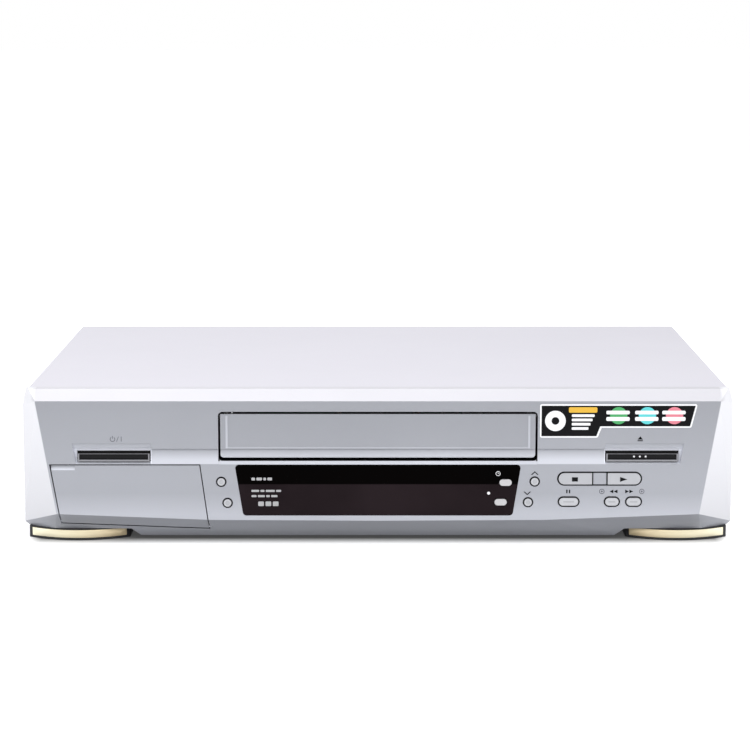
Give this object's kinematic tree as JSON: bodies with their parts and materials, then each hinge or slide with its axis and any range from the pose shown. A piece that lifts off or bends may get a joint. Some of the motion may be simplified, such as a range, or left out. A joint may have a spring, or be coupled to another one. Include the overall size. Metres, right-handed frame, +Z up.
{
  "type": "vhs video cassette recorder",
  "caption": "Front-loading video cassette recorder with a cassette door, a display window, keys, a socket flap and a working tape deck.",
  "frame": {"origin": "on the floor, under the middle of the overall box", "axes": "+X to the right seen from the front, +Y to the back, +Z up; the front faces -Y"},
  "size_m": [0.43, 0.294, 0.092],
  "materials": {
    "silver_panel": "satin metallic paint",
    "cover_paint": "fine satin paint",
    "chassis_steel": "zinc-plated sheet",
    "rear_paint": "matt dark paint",
    "window_lens": "smoked gloss",
    "dark_plastic": "fine grain",
    "dark_gloss": "gloss",
    "foot_rubber": "matt",
    "champagne_trim": "satin champagne metallic",
    "sticker_film": "printed gloss film",
    "key_silver": "satin",
    "key_white": "satin",
    "circuit_board": "solder mask",
    "power_circuit": "phenolic board",
    "tube_glass": "clear",
    "ferrite": "matt",
    "aluminium": "machined",
    "tin_plate": "tinned",
    "screw_steel": "zinc",
    "deck_steel": "zinc-plated sheet",
    "spring_steel": "drawn",
    "belt_rubber": "matt",
    "cable_film": "flat",
    "nickel": "bright",
    "reel_plastic": "natural",
    "gear_plastic": "natural",
    "brass_posts": "turned"
  },
  "bodies": {
    "case": {"bottom_chassis": "chassis_steel", "front_fascia": "silver_panel", "display_window": "window_lens", "top_cover": "cover_paint", "cover_screws": "screw_steel", "rear_panel": "rear_paint", "front_feet": "foot_rubber", "foot_trims": "champagne_trim", "rear_feet": "foot_rubber", "sticker_plate": "sticker_film", "front_board": "circuit_board", "display_tube": "tube_glass", "front_sockets": "dark_plastic", "main_board": "circuit_board", "power_board": "power_circuit", "power_transformer": "ferrite", "heat_sink": "aluminium", "tuner_module": "tin_plate", "av_board": "circuit_board", "scart_sockets": "dark_plastic", "rear_av_jacks": "nickel", "mains_inlet": "dark_plastic", "deck_plate": "deck_steel", "deck_screws": "screw_steel", "carriage_brackets": "deck_steel", "drum_base": "aluminium", "control_head": "nickel", "erase_head": "nickel", "capstan_motor": "circuit_board", "drive_belt": "belt_rubber", "ribbon_cable": "cable_film", "door_spring": "spring_steel"},
    "door": {"cassette_door": "silver_panel"},
    "flap": {"av_flap": "silver_panel"},
    "power_key": {"power_button": "dark_gloss"},
    "eject_key": {"eject_button": "dark_gloss"},
    "stop_key": {"stop_button": "key_silver"},
    "play_key": {"play_button": "key_silver"},
    "pause_key": {"pause_button": "key_silver"},
    "rewind_key": {"rewind_button": "key_silver"},
    "fast_forward_key": {"fast_forward_button": "key_silver"},
    "channel_up_key": {"channel_up_button": "key_silver"},
    "channel_down_key": {"channel_down_button": "key_silver"},
    "upper_left_key": {"upper_left_button": "key_silver"},
    "lower_left_key": {"lower_left_button": "key_silver"},
    "timer_key": {"timer_button": "key_white"},
    "record_key": {"record_button": "key_white"},
    "upper_drum_body": {"upper_drum": "aluminium"},
    "capstan_body": {"capstan": "deck_steel"},
    "pinch_arm_body": {"pinch_arm": "deck_steel"},
    "pinch_roller_body": {"pinch_roller": "belt_rubber"},
    "supply_reel_body": {"supply_reel": "reel_plastic"},
    "take_up_reel_body": {"take_up_reel": "reel_plastic"},
    "idler_arm_body": {"idler_arm": "dark_plastic"},
    "idler_wheel_body": {"idler_wheel": "belt_rubber"},
    "supply_guide_body": {"supply_guide": "brass_posts"},
    "take_up_guide_body": {"take_up_guide": "brass_posts"},
    "loading_gear_body": {"loading_gear": "gear_plastic"},
    "carriage_slider_body": {"carriage_slider": "deck_steel"},
    "cassette_holder_body": {"cassette_holder": "deck_steel"}
  },
  "joints": [
    {"name": "door_hinge", "type": "hinge", "parent": "case", "child": "door", "pos_m": [0, -0.1445, 0.0772], "axis": [1, 0, 0], "range_deg": [0, 85], "stiffness_Nm_per_rad": 0.004, "springref_deg": -20.05},
    {"name": "flap_hinge", "type": "hinge", "parent": "case", "child": "flap", "pos_m": [-0.1906, -0.14221, 0.01223], "axis": [0.9993, 0, -0.0383], "range_deg": [0, 88]},
    {"name": "power_press", "type": "slide", "parent": "case", "child": "power_key", "axis": [0, 1, 0], "range_m": [0, 0.0006], "stiffness_N_per_m": 260, "springref_m": -0.0015},
    {"name": "eject_press", "type": "slide", "parent": "case", "child": "eject_key", "axis": [0, 1, 0], "range_m": [0, 0.0006], "stiffness_N_per_m": 260, "springref_m": -0.0015},
    {"name": "stop_press", "type": "slide", "parent": "case", "child": "stop_key", "axis": [0, 1, 0], "range_m": [0, 0.0006], "stiffness_N_per_m": 180, "springref_m": -0.0015},
    {"name": "play_press", "type": "slide", "parent": "case", "child": "play_key", "axis": [0, 1, 0], "range_m": [0, 0.0006], "stiffness_N_per_m": 180, "springref_m": -0.0015},
    {"name": "pause_press", "type": "slide", "parent": "case", "child": "pause_key", "axis": [0, 1, 0], "range_m": [0, 0.0006], "stiffness_N_per_m": 180, "springref_m": -0.0015},
    {"name": "rewind_press", "type": "slide", "parent": "case", "child": "rewind_key", "axis": [0, 1, 0], "range_m": [0, 0.0006], "stiffness_N_per_m": 180, "springref_m": -0.0015},
    {"name": "fast_forward_press", "type": "slide", "parent": "case", "child": "fast_forward_key", "axis": [0, 1, 0], "range_m": [0, 0.0006], "stiffness_N_per_m": 180, "springref_m": -0.0015},
    {"name": "channel_up_press", "type": "slide", "parent": "case", "child": "channel_up_key", "axis": [0, 1, 0], "range_m": [0, 0.0006], "stiffness_N_per_m": 180, "springref_m": -0.0015},
    {"name": "channel_down_press", "type": "slide", "parent": "case", "child": "channel_down_key", "axis": [0, 1, 0], "range_m": [0, 0.0006], "stiffness_N_per_m": 180, "springref_m": -0.0015},
    {"name": "upper_left_press", "type": "slide", "parent": "case", "child": "upper_left_key", "axis": [0, 1, 0], "range_m": [0, 0.0006], "stiffness_N_per_m": 180, "springref_m": -0.0015},
    {"name": "lower_left_press", "type": "slide", "parent": "case", "child": "lower_left_key", "axis": [0, 1, 0], "range_m": [0, 0.0006], "stiffness_N_per_m": 180, "springref_m": -0.0015},
    {"name": "timer_press", "type": "slide", "parent": "case", "child": "timer_key", "axis": [0, 1, 0], "range_m": [0, 0.0006], "stiffness_N_per_m": 180, "springref_m": -0.0015},
    {"name": "record_press", "type": "slide", "parent": "case", "child": "record_key", "axis": [0, 1, 0], "range_m": [0, 0.0006], "stiffness_N_per_m": 180, "springref_m": -0.0015},
    {"name": "drum_spin", "type": "hinge", "parent": "case", "child": "upper_drum_body", "pos_m": [0, 0.0797, 0.024], "axis": [0, 0.104, 0.9946], "continuous": true},
    {"name": "capstan_spin", "type": "hinge", "parent": "case", "child": "capstan_body", "pos_m": [0.07, 0.0497, 0.02], "axis": [0, 0, 1], "continuous": true},
    {"name": "pinch_swing", "type": "hinge", "parent": "case", "child": "pinch_arm_body", "pos_m": [0.092, 0.0697, 0.024], "axis": [0, 0, 1], "range_deg": [0, 30], "stiffness_Nm_per_rad": 0.004, "springref_deg": -28.65},
    {"name": "pinch_roller_spin", "type": "hinge", "parent": "pinch_arm_body", "child": "pinch_roller_body", "pos_m": [0.0705, 0.06745, 0.03], "axis": [0, 0, 1], "continuous": true},
    {"name": "supply_reel_spin", "type": "hinge", "parent": "case", "child": "supply_reel_body", "pos_m": [-0.046, -0.0123, 0.024], "axis": [0, 0, 1], "continuous": true},
    {"name": "take_up_reel_spin", "type": "hinge", "parent": "case", "child": "take_up_reel_body", "pos_m": [0.046, -0.0123, 0.024], "axis": [0, 0, 1], "continuous": true},
    {"name": "idler_swing", "type": "hinge", "parent": "case", "child": "idler_arm_body", "pos_m": [0, -0.0223, 0.023], "axis": [0, 0, 1], "range_deg": [-39, 39]},
    {"name": "idler_spin", "type": "hinge", "parent": "idler_arm_body", "child": "idler_wheel_body", "pos_m": [0, -0.0003, 0.025], "axis": [0, 0, 1], "continuous": true},
    {"name": "loading_gear_turn", "type": "hinge", "parent": "case", "child": "loading_gear_body", "pos_m": [-0.078, 0.0917, 0.022], "axis": [0, 0, 1], "range_deg": [0, 210]},
    {"name": "supply_guide_run", "type": "hinge", "parent": "case", "child": "supply_guide_body", "pos_m": [0, 0.0797, 0.024], "axis": [0, 0, 1], "range_deg": [-70, 0]},
    {"name": "take_up_guide_run", "type": "hinge", "parent": "case", "child": "take_up_guide_body", "pos_m": [0, 0.0797, 0.024], "axis": [0, 0, 1], "range_deg": [0, 70]},
    {"name": "carriage_feed", "type": "slide", "parent": "case", "child": "carriage_slider_body", "axis": [0, 1, 0], "range_m": [-0.054, 0]},
    {"name": "carriage_lower", "type": "slide", "parent": "carriage_slider_body", "child": "cassette_holder_body", "axis": [0, 0, -1], "range_m": [0, 0.022]}
  ],
  "couplings": [
    {"joint": "supply_guide_run", "follows": "loading_gear_turn", "ratio": -0.33333},
    {"joint": "take_up_guide_run", "follows": "loading_gear_turn", "ratio": 0.33333}
  ]
}
